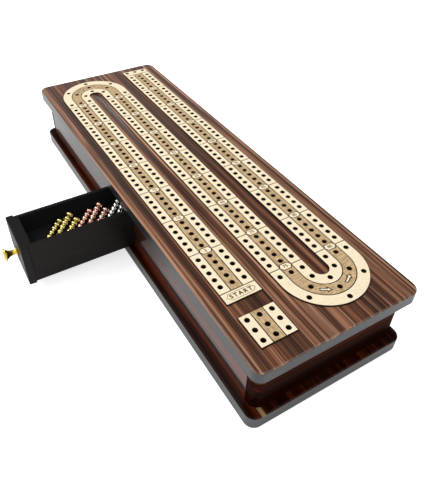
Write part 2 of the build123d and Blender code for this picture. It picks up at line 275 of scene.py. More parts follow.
def pale_wood(name, along, tint, contrast, figure, offset=(0, 0, 0)):
    """A pale wood, planed and sealed: growth lines 1 to 2 mm apart, short flecks 0.5 mm wide."""
    material, tree = start_material(name)
    space = grain_space(tree, along, 30, offset)
    lines = add(tree, "ShaderNodeTexNoise", {
        "Vector": space, "Scale": figure, "Detail": 3.0, "Roughness": 0.6})
    line = add(tree, "ShaderNodeMapRange", {
        "Value": lines.outputs[0], "From Min": 0.3, "From Max": 0.7,
        "To Min": 1 - contrast, "To Max": 1.0})
    fleck_space = grain_space(tree, along, 3, offset)
    flecks = add(tree, "ShaderNodeTexNoise", {
        "Vector": fleck_space, "Scale": 0.8, "Detail": 3.0, "Roughness": 0.75})
    fleck = add(tree, "ShaderNodeMapRange", {
        "Value": flecks.outputs[0], "From Min": 0.45, "From Max": 0.62,
        "To Min": 0.0, "To Max": contrast * 2.4})
    lined = add(tree, "ShaderNodeMix", {0: 1.0, MIX_A: tint, MIX_B: line.outputs[0]},
                data_type="RGBA", blend_type="MULTIPLY")
    dark = tuple(part * share for part, share in zip(tint, (0.5, 0.42, 0.3)))
    shade = add(tree, "ShaderNodeMix", {
        0: fleck.outputs[0], MIX_A: lined.outputs[MIX_OUT], MIX_B: dark}, data_type="RGBA")
    relief = add(tree, "ShaderNodeBump", {
        "Height": lines.outputs[0], "Strength": 0.08, "Distance": 0.1 * MM})
    return end_material(material, Base_Color=shade.outputs[MIX_OUT], Roughness=0.5,
                        Specular_IOR_Level=0.35, Normal=relief.outputs[0])


def mottled(name, tint, grain, noise, stops, relief=None, **shader):
    """A finish that is darker and lighter in patches.

    grain is the pattern's axis and stretch, and stops are its places and shares of the colour.
    relief is the strength and the depth in mm of the same pattern.
    """
    material, tree = start_material(name)
    patches = add(tree, "ShaderNodeTexNoise", {"Vector": grain_space(tree, *grain), **noise})
    shade = add(tree, "ShaderNodeValToRGB", {0: patches.outputs[0]}, stops=[
        (place, scaled(tint, share)) for place, share in stops])
    if relief:
        bump = add(tree, "ShaderNodeBump", {
            "Height": patches.outputs[0], "Strength": relief[0], "Distance": relief[1] * MM})
        shader["Normal"] = bump.outputs[0]
    return end_material(material, Base_Color=shade.outputs[0], **shader)


def turned_metal(name, tint, roughness=0.2):
    """Metal turned on a lathe and buffed: bright, with faint 2 mm smears where it was handled."""
    material, tree = start_material(name)
    space = grain_space(tree, "X", 1)
    smears = add(tree, "ShaderNodeTexNoise", {"Vector": space, "Scale": 0.5, "Detail": 3.0})
    gloss = add(tree, "ShaderNodeMapRange", {
        "Value": smears.outputs[0], "From Min": 0.3, "From Max": 0.7,
        "To Min": roughness * 0.7, "To Max": roughness * 1.5})
    shade = add(tree, "ShaderNodeValToRGB", {0: smears.outputs[0]}, stops=[
        (0.3, scaled(tint, 0.82)), (0.7, tint)])
    return end_material(material, Base_Color=shade.outputs[0], Metallic=1.0,
                        Roughness=gloss.outputs[0])


# ---- mesh tools ----
def linked(name, data):
    """A new object in the scene."""
    thing = bpy.data.objects.new(name, data)
    bpy.context.scene.collection.objects.link(thing)
    return thing


def keep(mesh_data, name, body, finishes, nodes=()):
    """Makes the piece from a mesh that is already in place, and fixes it to its body."""
    piece = linked(name, mesh_data)
    for finish in finishes:
        piece.data.materials.append(FINISHES[finish])
    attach(piece, body)
    if nodes:
        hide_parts(*nodes)
    return piece


def offset_outline(points, distance):
    """The outline moved inwards by distance.  It runs anticlockwise."""
    moved = []
    for place, point in enumerate(points):
        back = (point - points[place - 1]).normalized()
        ahead = (points[(place + 1) % len(points)] - point).normalized()
        normal = Vector((-back.y - ahead.y, back.x + ahead.x))
        side = Vector((-ahead.y, ahead.x))
        moved.append(point + normal * (distance / normal.dot(side)))
    return moved


def corners(*pairs):
    return [Vector(pair) for pair in pairs]


def circle(x, y, radius, sides):
    angles = [2 * pi * side / sides for side in range(sides)]
    return corners(*((x + radius * cos(angle), y + radius * sin(angle)) for angle in angles))


def hexagon(point, flat, tall):
    """A plaque's outline round the origin: half its length, half its flat and half its height."""
    return corners((-point, 0), (-flat, -tall), (flat, -tall), (point, 0), (flat, tall),
                   (-flat, tall))


def drilled(spots, sizes):
    """Peg holes at the given spots, as cuts for add_slab."""
    return [(circle(x, y, sizes.hole_diameter / 2, sizes.hole_sides), sizes.hole_depth)
            for x, y in spots]


def add_slab(mesh, outline, low, high, burn, cuts=()):
    """A flat closed piece with scorched slopes.  cuts are (outline, depth) of holes and pockets."""
    burnt = mesh.faces.layers.bool.get("burnt") or mesh.faces.layers.bool.new("burnt")
    made = []

    def ring(points, height):
        return [mesh.verts.new((point.x, point.y, height)) for point in points]

    def band(lower, upper, flip):
        for place in range(len(lower)):
            face = [lower[place - 1], lower[place], upper[place], upper[place - 1]]
            made.append(mesh.faces.new(face[::-1] if flip else face))
            made[-1][burnt] = True

    top_rings = [ring(offset_outline(outline, burn), high)]
    edge, foot = ring(outline, high - burn), ring(outline, low)
    band(edge, top_rings[0], False)
    band(foot, edge, False)
    made.append(mesh.faces.new(foot[::-1]))
    for cut, depth in cuts:
        top_rings.append(ring(offset_outline(cut, -burn), high))
        lip, floor = ring(cut, high - burn), ring(cut, high - depth)
        band(lip, top_rings[-1], True)
        band(floor, lip, True)
        made.append(mesh.faces.new(floor))
        made[-1][burnt] = True
    flat = [vert for one in top_rings for vert in one]
    for triangle in tessellate_polygon([[vert.co for vert in one] for one in top_rings]):
        made.append(mesh.faces.new([flat[index] for index in triangle]))
    bmesh.ops.recalc_face_normals(mesh, faces=made)


def to_mesh(mesh, name):
    """Ends a bmesh as mesh data; scorched faces take the second material."""
    burnt = mesh.faces.layers.bool.get("burnt")
    if burnt:
        for face in mesh.faces:
            face.material_index = 1 if face[burnt] else 0
    data = bpy.data.meshes.new(name)
    mesh.to_mesh(data)
    mesh.free()
    return data


def joined(meshes):
    """One bmesh of several meshes, merged where they meet."""
    mesh = bmesh.new()
    for data in meshes:
        mesh.from_mesh(data)
    bmesh.ops.remove_doubles(mesh, verts=mesh.verts, dist=0.0005 * MM)
    return mesh


def copy_tree(name, inputs):
    """A Geometry Nodes tree with its named inputs, the last two for its finishes."""
    tree = bpy.data.node_groups.new(name, "GeometryNodeTree")
    tree.interface.new_socket("Geometry", in_out="INPUT", socket_type="NodeSocketGeometry")
    for label, kind in {**inputs, "Wood": "Material", "Scorch": "Material"}.items():
        tree.interface.new_socket(label, in_out="INPUT", socket_type="NodeSocket" + kind)
    tree.interface.new_socket("Geometry", in_out="OUTPUT", socket_type="NodeSocketGeometry")
    return tree, add(tree, "NodeGroupInput").outputs


def end_tree(tree, instances, given):
    """Realizes the copies, and gives them wood and scorched edges."""
    real = add(tree, "GeometryNodeRealizeInstances", {0: instances})
    wood = add(tree, "GeometryNodeSetMaterial", {
        "Geometry": real.outputs[0], "Material": given["Wood"]})
    burnt = add(tree, "GeometryNodeInputNamedAttribute", {"Name": "burnt"}, data_type="BOOLEAN")
    edges = add(tree, "GeometryNodeSetMaterial", {
        "Geometry": wood.outputs[0], "Selection": burnt.outputs[0], "Material": given["Scorch"]})
    add(tree, "NodeGroupOutput", {0: edges.outputs[0]})
    return tree


def row_tree():
    """Copies of one tile in a row along the track."""
    tree, given = copy_tree("row_of_tiles", {"Copies": "Int", "Pitch": "Float"})
    step = add(tree, "ShaderNodeCombineXYZ", {"Y": given["Pitch"]})
    line = add(tree, "GeometryNodeMeshLine", {"Count": given["Copies"], "Offset": step.outputs[0]})
    copies = add(tree, "GeometryNodeInstanceOnPoints", {
        "Points": line.outputs[0], "Instance": given["Geometry"]})
    return end_tree(tree, copies.outputs[0], given)


def scatter_tree():
    """Copies of one plaque on the points of the piece's own mesh."""
    tree, given = copy_tree("plaques_on_points", {"Plaque": "Object"})
    plaque = add(tree, "GeometryNodeObjectInfo", {"Object": given["Plaque"]})
    copies = add(tree, "GeometryNodeInstanceOnPoints", {
        "Points": given["Geometry"], "Instance": plaque.outputs["Geometry"]})
    return end_tree(tree, copies.outputs[0], given)


def plain_mesh(thing):
    """The finished mesh of an object.  Its modifiers and the object are removed."""
    bpy.context.view_layer.update()
    depsgraph = bpy.context.evaluated_depsgraph_get()
    data = bpy.data.meshes.new_from_object(thing.evaluated_get(depsgraph))
    thing.modifiers.clear()
    bpy.data.objects.remove(thing)
    return data


def grown(mesh_data, tree, inputs):
    """The plain mesh that a tree makes from mesh_data."""
    seed = linked("seed", mesh_data)
    modifier = seed.modifiers.new("copies", "NODES")
    modifier.node_group = tree
    for item in tree.interface.items_tree:
        if item.in_out == "INPUT" and item.name in inputs:
            modifier[item.identifier] = inputs[item.name]
    return plain_mesh(seed)


def lettering(text, size, x, y, z, weight, spacing=1.0):
    """Flat letters on the board, read from the near end."""
    curve = bpy.data.curves.new("letters", "FONT")
    curve.body, curve.size, curve.space_character = text, size, spacing
    curve.align_x, curve.align_y, curve.extrude = "CENTER", "CENTER", LETTER_RELIEF
    curve.resolution_u, curve.offset = 3, weight
    data = plain_mesh(linked("letters", curve))
    data.transform(Matrix.Translation((x, y, z)))
    return data


def lathe(profile, sides, place):
    """Turns (radius, height) pairs round z, closes both ends and puts the mesh in place."""
    mesh = bmesh.new()
    rings = [[mesh.verts.new((spot.x, spot.y, height)) for spot in circle(0, 0, radius, sides)]
             for radius, height in profile]
    for lower, upper in zip(rings, rings[1:]):
        for side in range(sides):
            mesh.faces.new([lower[side - 1], lower[side], upper[side], upper[side - 1]])
    mesh.faces.new(rings[0][::-1])
    mesh.faces.new(rings[-1])
    bmesh.ops.recalc_face_normals(mesh, faces=mesh.faces)
    mesh.transform(place)
    data = to_mesh(mesh, "turned")
    data.shade_smooth()
    data.set_sharp_from_angle(angle=radians(40))
    return data


def dress(node, name, finishes, ease):
    """A copy of a board of the frame, merged and with eased edges, in its own finish."""
    mesh = bmesh.new()
    mesh.from_mesh(frame["nodes"][node].data)
    bmesh.ops.remove_doubles(mesh, verts=mesh.verts, dist=0.001 * MM)
    bmesh.ops.dissolve_limit(
        mesh, angle_limit=radians(0.6), verts=mesh.verts, edges=mesh.edges)
    body = frame["nodes"][node]["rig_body"]
    piece = keep(to_mesh(mesh, name), name, body, finishes, [node])
    piece.data.shade_smooth()
    piece.data.set_sharp_from_angle(angle=radians(35))
    bevel = piece.modifiers.new("eased edges", "BEVEL")
    bevel.width, bevel.segments = ease, 2
    bevel.limit_method, bevel.angle_limit = "ANGLE", radians(28)
    bevel.harden_normals = True
    return piece


# ---- places of the track, from the frame ----
def track_places():
    """The line before the first holes, the strips' heights and the pitch of the groups."""
    low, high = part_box("leg_3_strip_centre")
    pitch = (high.y - low.y) / LAST_LEG_GROUPS
    return {"near": low.y, "bottom": low.z, "top": high.z, "pitch": pitch}


def frame_middle(node):
    """The middle of a node across the board."""
    low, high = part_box(node)
    return (low.x + high.x) / 2


def leg_groups(leg):
    """How many groups of five a leg holds."""
    places = track_places()
    return round((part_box(f"leg_{leg}_strip_left")[1].y - places["near"]) / places["pitch"])


def leg_lines(leg):
    """The group lines of a leg that carry a plaque, each with its number."""
    first, step = LEG_NUMBERS[leg]
    numbers = {line: first + step * line for line in range(leg_groups(leg) + 1)}
    return {line: number for line, number in numbers.items() if 0 < number < LAST_NUMBER}


def tile_outline(half, long, notches, sizes):
    """A tile from x = -half to half and y = 0 to long; notches at its ends are for plaques."""
    flat, tall = sizes.plaque_flat / 2, sizes.plaque_height / 2
    points = corners((-half, 0))
    if notches[0]:
        points += corners((-flat, tall), (flat, tall))
    points += corners((half, 0), (half, long))
    if notches[1]:
        points += corners((flat, long - tall), (-flat, long - tall))
    return points + corners((-half, long))


def turn_place(end):
    """A turn's middle, the line where it starts and its direction along y."""
    low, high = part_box(f"{end}_turn_strip_outer")
    across, radius = (low.x + high.x) / 2, (high.x - low.x) / 2
    if end == "far":
        return Vector((across, high.y - radius)), low.y, 1
    return Vector((across, low.y + radius)), high.y, -1


def ring_radius(end, ring):
    """Outer radius of a turn's ring."""
    low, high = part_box(f"{end}_turn_strip_{ring}")
    return (high.x - low.x) / 2


def inner_radius(end, ring):
    """Inner radius of a turn's ring; the inner ring's is where the second leg's strip ends."""
    if ring != "inner":
        return ring_radius(end, {"outer": "middle", "middle": "inner"}[ring])
    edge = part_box("leg_2_strip_right")[1] if end == "near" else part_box("leg_2_strip_left")[0]
    return abs(edge.x - turn_place(end)[0].x)


def arrow(middle, radius, way, angle):
    """A broad arrow laid along a turn's middle ring."""
    shaft, barb, tail, neck, tip = 0.85 * MM, 1.75 * MM, -3.4 * MM, 1.2 * MM, 3.8 * MM
    shape = corners((tail, -shaft), (neck, -shaft), (neck, -barb), (tip, 0), (neck, barb),
                    (neck, shaft), (tail, shaft))
    centre = middle + radius * Vector((sin(angle), way * cos(angle)))
    heading = Matrix.Rotation(atan2(-way * sin(angle), cos(angle)), 2)
    return [centre + heading @ corner for corner in shape]


def turn_outline(end, ring, sizes):
    """Outline of a ring strip; the middle one has notches for the plaques at both ends."""
    middle, line, way = turn_place(end)
    outer, inner = ring_radius(end, ring), inner_radius(end, ring)

    def edge(radius):
        angles = [pi * side / sizes.turn_sides for side in range(sizes.turn_sides + 1)]
        arc = [middle + radius * Vector((-cos(angle), way * sin(angle))) for angle in angles]
        return [Vector((middle.x - radius, line)), *arc, Vector((middle.x + radius, line))]

    outside, inside = edge(outer), edge(inner)[::-1]
    if ring == "middle":
        flat, height = sizes.plaque_flat / 2, line + way * sizes.plaque_height / 2
        for run, centre in ((outside, middle.x + (outer + inner) / 2),
                            (inside, middle.x - (outer + inner) / 2)):
            run += corners((centre + flat, height), (centre - flat, height))
    points = outside + inside
    return points if way == -1 else points[::-1]


def track_slab(name, outline, cuts, sizes):
    """A tile, ring or plate of the track as mesh data."""
    places, mesh = track_places(), bmesh.new()
    add_slab(mesh, outline, places["bottom"], places["top"], sizes.burn, cuts)
    return to_mesh(mesh, name)


# ---- pieces ----
class BOX_OT_leg_strips(bpy.types.Operator):
    """Rows of maple and oak tiles on the three legs"""
    bl_idname = "cribbage.leg_strips"
    bl_label = "Leg strips"

    def execute(self, context):
        tree = row_tree()
        for leg in LEG_NUMBERS:
            for place, lane in enumerate(LANE_WOODS):
                self.strip(leg, lane, place - 1, tree, context.scene.track_sizes)
        return {"FINISHED"}

    @staticmethod
    def strip(leg, lane, side, tree, sizes):
        """One strip.  Tiles that are alike are one drilled tile, copied along the leg."""
        node = f"leg_{leg}_strip_{lane}"
        low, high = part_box(node)
        pitch, middle = track_places()["pitch"], frame_middle(node)
        wood = LANE_WOODS[lane]
        hole_x = side * sizes.lane_pitch + frame_middle(f"leg_{leg}_strip_centre") - middle
        spots = [(hole_x, pitch / 2 + step * sizes.hole_pitch) for step in range(-2, 3)]
        groups, numbered = leg_groups(leg), leg_lines(leg) if wood == "oak" else {}
        alike = [line for line in range(groups)
                 if wood == "maple" or (line in numbered and line + 1 in numbered)]
        tiles = []
        for line in range(groups):
            if line in alike[1:]:
                continue
            outline = tile_outline(
                (high.x - low.x) / 2, pitch, (line in numbered, line + 1 in numbered), sizes)
            tile = grown(track_slab("tile", outline, drilled(spots, sizes), sizes), tree, {
                "Copies": len(alike) if line in alike else 1, "Pitch": pitch,
                "Wood": FINISHES[wood], "Scorch": FINISHES["scorch"]})
            tile.transform(Matrix.Translation((middle, low.y + line * pitch, 0)))
            tiles.append(tile)
        keep(to_mesh(joined(tiles), node), f"tiles_{node}", "box", (wood, "scorch"), [node])


class BOX_OT_turn_strips(bpy.types.Operator):
    """Three rings at each turn of the track, with arrows on the middle one"""
    bl_idname = "cribbage.turn_strips"
    bl_label = "Turn strips"

    def execute(self, context):
        sizes, top = context.scene.track_sizes, track_places()["top"]
        for end, leg in (("near", 2), ("far", 1)):
            middle, line, way = turn_place(end)
            lane = abs(frame_middle(f"leg_{leg}_strip_centre") - middle.x)
            arrows = [arrow(middle, lane, way, radians(angle)) for angle in ARROW_ANGLES]
            for place, (ring, angle) in enumerate(TURN_HOLE_ANGLES.items()):
                node = f"{end}_turn_strip_{ring}"
                wood = "oak" if ring == "middle" else "maple"
                radius = lane + (place - 1) * sizes.lane_pitch
                cuts = drilled(self.spots(middle, line, way, radius, radians(angle), sizes), sizes)
                if ring == "middle":
                    cuts += [(shape, sizes.inlay_thickness) for shape in arrows]
                data = track_slab(node, turn_outline(end, ring, sizes), cuts, sizes)
                keep(data, f"ring_{node}", "box", (wood + "_turn", "scorch"), [node])
            mesh = bmesh.new()
            for shape in arrows:
                add_slab(mesh, shape, top - sizes.inlay_thickness, top, sizes.burn)
            keep(to_mesh(mesh, "arrows"), f"{end}_turn_arrows", "box", ("maple", "scorch"))
        return {"FINISHED"}

    @staticmethod
    def spots(middle, line, way, radius, angle, sizes):
        """The five holes of a ring: two by its line, two on its sides and one at its top."""
        first = line + way * sizes.turn_gap
        spots = [(middle.x + across * radius, first) for across in (-1, 1)]
        spots += [middle + radius * Vector((across * cos(angle), way * sin(angle)))
                  for across in (-1, 1)]
        return spots + [(middle.x, middle.y + way * radius)]


class BOX_OT_plaques(bpy.types.Operator):
    """Numbered plaques where the groups of five meet"""
    bl_idname = "cribbage.plaques"
    bl_label = "Plaques"

    def execute(self, context):
        sizes, places = context.scene.track_sizes, track_places()
        fine_burn, stroke = sizes.burn * 0.8, 0.07 * MM
        low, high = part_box("leg_1_strip_centre")
        outline = hexagon((high.x - low.x) / 2, sizes.plaque_flat / 2, sizes.plaque_height / 2)
        mesh = bmesh.new()
        add_slab(mesh, outline, -sizes.inlay_thickness, 0, fine_burn)
        plaque = linked("plaque", to_mesh(mesh, "plaque"))
        points, letters = [], []
        for leg in LEG_NUMBERS:
            x = frame_middle(f"leg_{leg}_strip_centre")
            for line, number in leg_lines(leg).items():
                spot = (x, places["near"] + line * places["pitch"], places["top"])
                points.append(spot)
                letters.append(lettering(str(number), sizes.numeral_size, *spot, stroke))
        spots = bpy.data.meshes.new("spots")
        spots.from_pydata(points, [], [])
        data = grown(spots, scatter_tree(), {
            "Plaque": plaque, "Wood": FINISHES["maple"], "Scorch": FINISHES["scorch"]})
        bpy.data.objects.remove(plaque)
        mesh = bmesh.new()
        mesh.from_mesh(data)
        keep(to_mesh(mesh, "plaques"), "plaques", "box", ("maple", "scorch"))
        keep(to_mesh(joined(letters), "numbers"), "plaque_numbers", "box", ("engraving",))
        return {"FINISHED"}


class BOX_OT_plates(bpy.types.Operator):
    """The start and finish plates and the parking block"""
    bl_idname = "cribbage.plates"
    bl_label = "Plates"

    def execute(self, context):
        sizes = context.scene.track_sizes
        across = {lane: (place - 1) * sizes.lane_pitch for place, lane in enumerate(LANE_WOODS)}
        self.plate("start_plate", "start_tile", "maple", "maple", [], sizes)
        self.word(sizes)

        line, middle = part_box("finish_plate")[0].y, frame_middle("finish_plate")
        spots = [(middle + shift, line + sizes.finish_gap) for shift in across.values()]
        self.plate("finish_plate", "finish_tile", "maple_turn", "maple", spots, sizes)

        middle = frame_middle("parking_strip_centre")
        for lane, shift in across.items():
            low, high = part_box(f"parking_strip_{lane}")
            spots = [(middle + shift, (low.y + high.y) / 2 + step * sizes.parking_pitch)
                     for step in (-1, 0, 1)]
            wood = LANE_WOODS[lane]
            self.plate(f"parking_strip_{lane}", f"parking_tile_{lane}", wood, wood, spots, sizes)
        return {"FINISHED"}

    @staticmethod
    def plate(node, name, finish, slot, spots, sizes):
        """A rectangular inlay with its peg holes."""
        low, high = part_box(node)
        outline = corners(low.xy, (high.x, low.y), high.xy, (low.x, high.y))
        data = track_slab(name, outline, drilled(spots, sizes), sizes)
        keep(data, name, "box", (finish, "scorch"), [node])

    @staticmethod
    def word(sizes):
        """The word START in its six-sided frame, engraved on the start plate."""
        low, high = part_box("start_plate")
        middle, top = (low.xy + high.xy) / 2, track_places()["top"]
        flat, point, tall, line = 7.6 * MM, 10.2 * MM, 2.7 * MM, 0.3 * MM
        stroke, spacing = 0.17 * MM, 1.42
        mesh = joined([lettering("START", sizes.word_size, *middle, top, stroke, spacing)])
        outer = [middle + corner for corner in hexagon(point, flat, tall)]
        inner = offset_outline(outer, line)
        rings = [[mesh.verts.new((spot.x, spot.y, top + lift)) for spot in ring]
                 for ring, lift in ((outer, -LETTER_RELIEF), (outer, LETTER_RELIEF),
                                    (inner, LETTER_RELIEF), (inner, -LETTER_RELIEF))]
        faces = [mesh.faces.new([lower[place - 1], lower[place], upper[place], upper[place - 1]])
                 for lower, upper in zip(rings, rings[1:] + rings[:1])
                 for place in range(len(outer))]
        bmesh.ops.recalc_face_normals(mesh, faces=faces)
        keep(to_mesh(mesh, "word"), "start_word", "box", ("engraving",))


class BOX_OT_body(bpy.types.Operator):
    """Base, deck, walls and the partitions beside the drawer"""
    bl_idname = "cribbage.body"
    bl_label = "Box"

    def execute(self, context):
        plate_ease, wall_ease = 0.25 * MM, 0.35 * MM
        for node, name in (("top_plate", "deck"), ("base_plate", "base")):
            board = dress(node, name, (name, "edge"), plate_ease)
            for face in board.data.polygons:
                face.material_index = int(abs(face.normal.z) < 0.5)      # edges are dyed
        for node in ("side_wall_right", "side_wall_left_near", "side_wall_left_far",
                     "end_wall_near", "end_wall_far"):
            finish = "side_wall" if node.startswith("side") else "end_wall"
            dress(node, node.replace("wall", "board"), (finish,), wall_ease)
        for node in ("drawer_guide_near", "drawer_guide_far"):
            dress(node, node.replace("guide", "partition"), ("beech",), wall_ease)
        return {"FINISHED"}


class BOX_OT_drawer(bpy.types.Operator):
    """The drawer's black boards and its cloth lining"""
    bl_idname = "cribbage.drawer"
    bl_label = "Drawer"

    def execute(self, context):
        for node in ("drawer_front_plate", "drawer_inner_front", "drawer_side_near",
                     "drawer_side_far", "drawer_back", "drawer_bottom", "drawer_cleats"):
            ease = 0.5 * MM if node == "drawer_front_plate" else 0.3 * MM
            dress(node, node + "_board", ("lacquer",), ease)
        dress("drawer_lining", "drawer_felt", ("cloth",), 0.1 * MM)
        return {"FINISHED"}


class BOX_OT_knob(bpy.types.Operator):
    """The turned brass knob, and the finish of its screw"""
    bl_idname = "cribbage.knob"
    bl_label = "Knob"

    def execute(self, context):
        low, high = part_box("drawer_knob")
        profile = self.profile(high.x - low.x, (high.z - low.z) / 2)
        place = Matrix.Translation((high.x, (low.y + high.y) / 2, (low.z + high.z) / 2))
        data = lathe(profile, KNOB_SIDES, place @ Euler((0, -pi / 2, 0)).to_matrix().to_4x4())
        keep(data, "knob", "drawer", ("brass",), ["drawer_knob"])
        screw = frame["nodes"]["knob_screw"]
        screw.data.materials.clear()
        screw.data.materials.append(FINISHES["zinc"])
        return {"FINISHED"}

    @staticmethod
    def profile(reach, rim):
        """Collar, neck, a trumpet flare of a quarter turn, and a domed face."""
        collar, neck = rim * 0.66, rim * 0.377
        points = [(collar * 0.9, 0), (collar, 0.25 * MM), (collar, 0.8 * MM),
                  (collar * 0.88, 1.05 * MM), (neck * 1.12, 1.15 * MM), (neck, 1.5 * MM)]
        start, end, steps = 2.6 * MM, reach - 1.5 * MM, 12
        for step in range(steps + 1):
            angle = pi / 2 * step / steps
            points.append((rim - (rim - neck) * cos(angle), start + (end - start) * sin(angle)))
        return points + [
            (rim, reach - 1.1 * MM), (rim * 0.97, reach - 0.8 * MM),
            (rim * 0.85, reach - 0.45 * MM), (rim * 0.62, reach - 0.12 * MM),
            (rim * 0.3, reach), (0.3 * MM, reach)]


class BOX_OT_pegs(bpy.types.Operator):
    """Nine turned pegs, each with five flared rings"""
    bl_idname = "cribbage.pegs"
    bl_label = "Pegs"

    def execute(self, context):
        sizes = context.scene.peg_sizes
        for metal, slot in METAL_SLOTS.items():
            for place in (1, 2, 3):
                node = f"peg_{metal}_{place}"
                tip, axis, reach = self.axis_of(node, place, sizes)
                turn = axis.to_track_quat("Z", "Y").to_matrix().to_4x4()
                lying = Matrix.Translation(tip) @ turn
                data = lathe(self.profile(reach, sizes), PEG_SIDES, lying)
                keep(data, f"pin_{metal}_{place}", node, (metal,), [node])
        return {"FINISHED"}

    @staticmethod
    def axis_of(node, place, sizes):
        """Tip, direction and length of a peg, from the frame's own corners at its two ends."""
        tilt = sizes.raised_tilt
        if place != 2:
            tilt = asin((sizes.head_radius - sizes.shank_radius) / sizes.peg_length)
        axis = Vector((cos(tilt) * cos(sizes.turn), cos(tilt) * sin(sizes.turn), sin(tilt)))
        spots = [vertex.co for vertex in frame["nodes"][node].data.vertices]
        reach = [spot.dot(axis) for spot in spots]
        tips = [spot for spot, along in zip(spots, reach) if along < min(reach) + 0.05 * MM]
        return sum(tips, Vector()) / len(tips), axis, max(reach) - min(reach)

    @staticmethod
    def profile(reach, sizes):
        """A tapered shank, then rings that flare towards the head, with a groove under each."""
        shank, pitch = sizes.shank_radius, sizes.ring_pitch
        start, groove = reach - sizes.rings * pitch, shank * 0.86
        points = [(shank * 0.6, 0), (shank * 0.95, 0.35 * MM), (shank, start - 0.4 * MM)]
        for ring in range(sizes.rings):
            share = ring / (sizes.rings - 1)
            radius = sizes.last_ring_radius + (sizes.head_radius - sizes.last_ring_radius) * share
            foot = start + ring * pitch
            points += [(groove + (radius - groove) * rise, foot + pitch * along)
                       for along, rise in RING_FLARE]
            if ring < sizes.rings - 1:
                points.append((radius * 0.88, foot + pitch * 0.97))
        return points + [
            (radius * 0.94, reach - 0.1 * MM), (radius * 0.8, reach), (0.2 * MM, reach)]


class BOX_OT_stage(bpy.types.Operator):
    """White floor, soft light and the camera"""
    bl_idname = "cribbage.stage"
    bl_label = "Stage"

    def execute(self, context):
        scene = context.scene
        scene.view_settings.view_transform = "Standard"
        self.floor()
        self.world(scene)
        self.lamps()
        self.camera(scene)
        return {"FINISHED"}

    @staticmethod
    def floor():
        """A white paper sweep.  It adds just enough light towards the camera to show as white."""
        data = bpy.data.meshes.new("floor")
        reach = 6.0
        data.from_pydata([(-reach, -reach, 0), (reach, -reach, 0), (reach, reach, 0),
                          (-reach, reach, 0)], [], [(0, 1, 2, 3)])
        floor = linked("floor", data)
        material = bpy.data.materials.new("white_paper")
        tree = empty_tree(material)
        paper = add(tree, "ShaderNodeBsdfDiffuse", {"Color": (0.86, 0.86, 0.86)})
        path = add(tree, "ShaderNodeLightPath")
        shown = add(tree, "ShaderNodeMath", {0: path.outputs["Is Camera Ray"], 1: 0.66},
                    operation="MULTIPLY")
        lift = add(tree, "ShaderNodeMath", {
            0: path.outputs["Is Glossy Ray"], 1: 0.12, 2: shown.outputs[0]},
            operation="MULTIPLY_ADD")
        glow = add(tree, "ShaderNodeEmission", {"Strength": lift.outputs[0]})
        both = add(tree, "ShaderNodeAddShader", {0: paper.outputs[0], 1: glow.outputs[0]})
        add(tree, "ShaderNodeOutputMaterial", {"Surface": both.outputs[0]})
        data.materials.append(material)

    @staticmethod
    def world(scene):
        """White in the picture.  Reflections show a white horizon and screen in a dark room."""
        scene.world = bpy.data.worlds.new("studio")
        tree = empty_tree(scene.world)
        path = add(tree, "ShaderNodeLightPath").outputs
        way = add(tree, "ShaderNodeTexCoord").outputs["Generated"]
        up = add(tree, "ShaderNodeSeparateXYZ", {0: way})
        sky = add(tree, "ShaderNodeValToRGB", {0: up.outputs["Z"]}, stops=[
            (0.16, (0.95, 0.95, 0.95)), (0.38, (0.33, 0.33, 0.34)),
            (0.51, (0.33, 0.33, 0.34)), (0.60, (0.14, 0.14, 0.15))])
        behind_camera = (-0.40, -0.55, 0.73)      # and high up, where the screen stands
        screen = add(tree, "ShaderNodeVectorMath", {0: way, 1: behind_camera},
                     operation="DOT_PRODUCT")
        share = add(tree, "ShaderNodeMapRange", {
            "Value": screen.outputs["Value"], "From Min": 0.3, "From Max": 0.5})
        white, room = (1, 1, 1), (0.68, 0.68, 0.68)
        shade = add(tree, "ShaderNodeMix", {
            0: share.outputs[0], MIX_A: sky.outputs[0], MIX_B: white}, data_type="RGBA")
        shade = add(tree, "ShaderNodeMix", {
            0: path["Is Glossy Ray"], MIX_A: room, MIX_B: shade.outputs[MIX_OUT]},
            data_type="RGBA")
        for ray in ("Is Camera Ray", "Is Transmission Ray"):
            shade = add(tree, "ShaderNodeMix", {
                0: path[ray], MIX_A: shade.outputs[MIX_OUT], MIX_B: white}, data_type="RGBA")
        back = add(tree, "ShaderNodeBackground", {"Color": shade.outputs[MIX_OUT], "Strength": 1.0})
        add(tree, "ShaderNodeOutputWorld", {"Surface": back.outputs[0]})

    @staticmethod
    def lamps():
        """Two broad soft boxes: the key high behind the left, the fill low in front."""
        for name, place, size, power in (
                ("key", (-0.9, 0.7, 1.5), 1.0, 20.0), ("fill", (0.5, -1.5, 1.1), 1.4, 5.0)):
            data = bpy.data.lights.new(name, "AREA")
            data.shape, data.size, data.energy = "SQUARE", size, power
            facing = Vector(place).to_track_quat("Z", "Y").to_matrix().to_4x4()
            linked(name, data).matrix_world = Matrix.Translation(place) @ facing

    @staticmethod
    def camera(scene):
        """At the photograph's viewpoint.  The picture is 435 by 495."""
        focal, centre_x, centre_y, wide, tall = 516.9, 197.0, 215.0, 435.0, 495.0
        data = bpy.data.cameras.new("camera")
        data.sensor_width = 36.0
        data.lens = focal * data.sensor_width / tall
        data.shift_x = (wide / 2 - centre_x) / tall
        data.shift_y = -(tall / 2 - centre_y) / tall
        data.clip_start, data.clip_end = 0.01, 50
        camera = linked("camera", data)
        camera.location = (-162.4 * MM, -294.6 * MM, 288.6 * MM)
        camera.rotation_euler = (radians(49.85), radians(-0.49), radians(-30.15))
        scene.camera = camera


